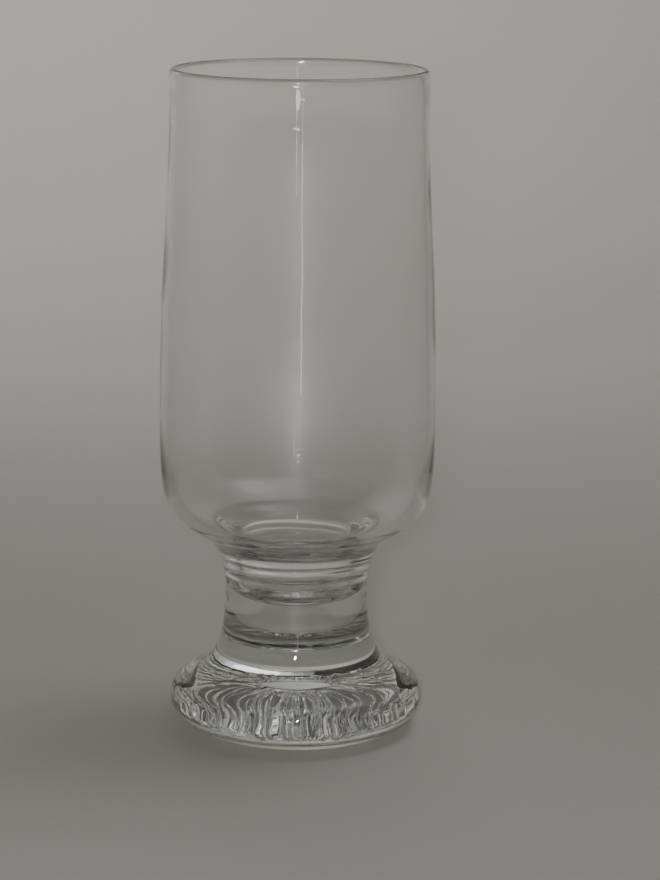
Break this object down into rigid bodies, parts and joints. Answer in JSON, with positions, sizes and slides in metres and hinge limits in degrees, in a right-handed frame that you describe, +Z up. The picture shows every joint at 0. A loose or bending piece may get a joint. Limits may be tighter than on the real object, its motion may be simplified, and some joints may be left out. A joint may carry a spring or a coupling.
{
  "type": "footed pint glass",
  "caption": "Clear glass beer goblet: tall, nearly straight bowl on a short waisted stem and a heavy rounded foot with a ridged hollow under it.",
  "frame": {"origin": "on the glass's axis, at the level of the surface it stands on", "axes": "+Z up along the glass's axis, towards the rim; +X and +Y are equal by symmetry"},
  "size_m": [0.0808, 0.0808, 0.195],
  "materials": {
    "clear_glass": "smooth, fire-polished, colourless"
  },
  "bodies": {
    "root": {"bowl": "clear_glass", "stem": "clear_glass", "foot": "clear_glass"}
  },
  "joints": []
}
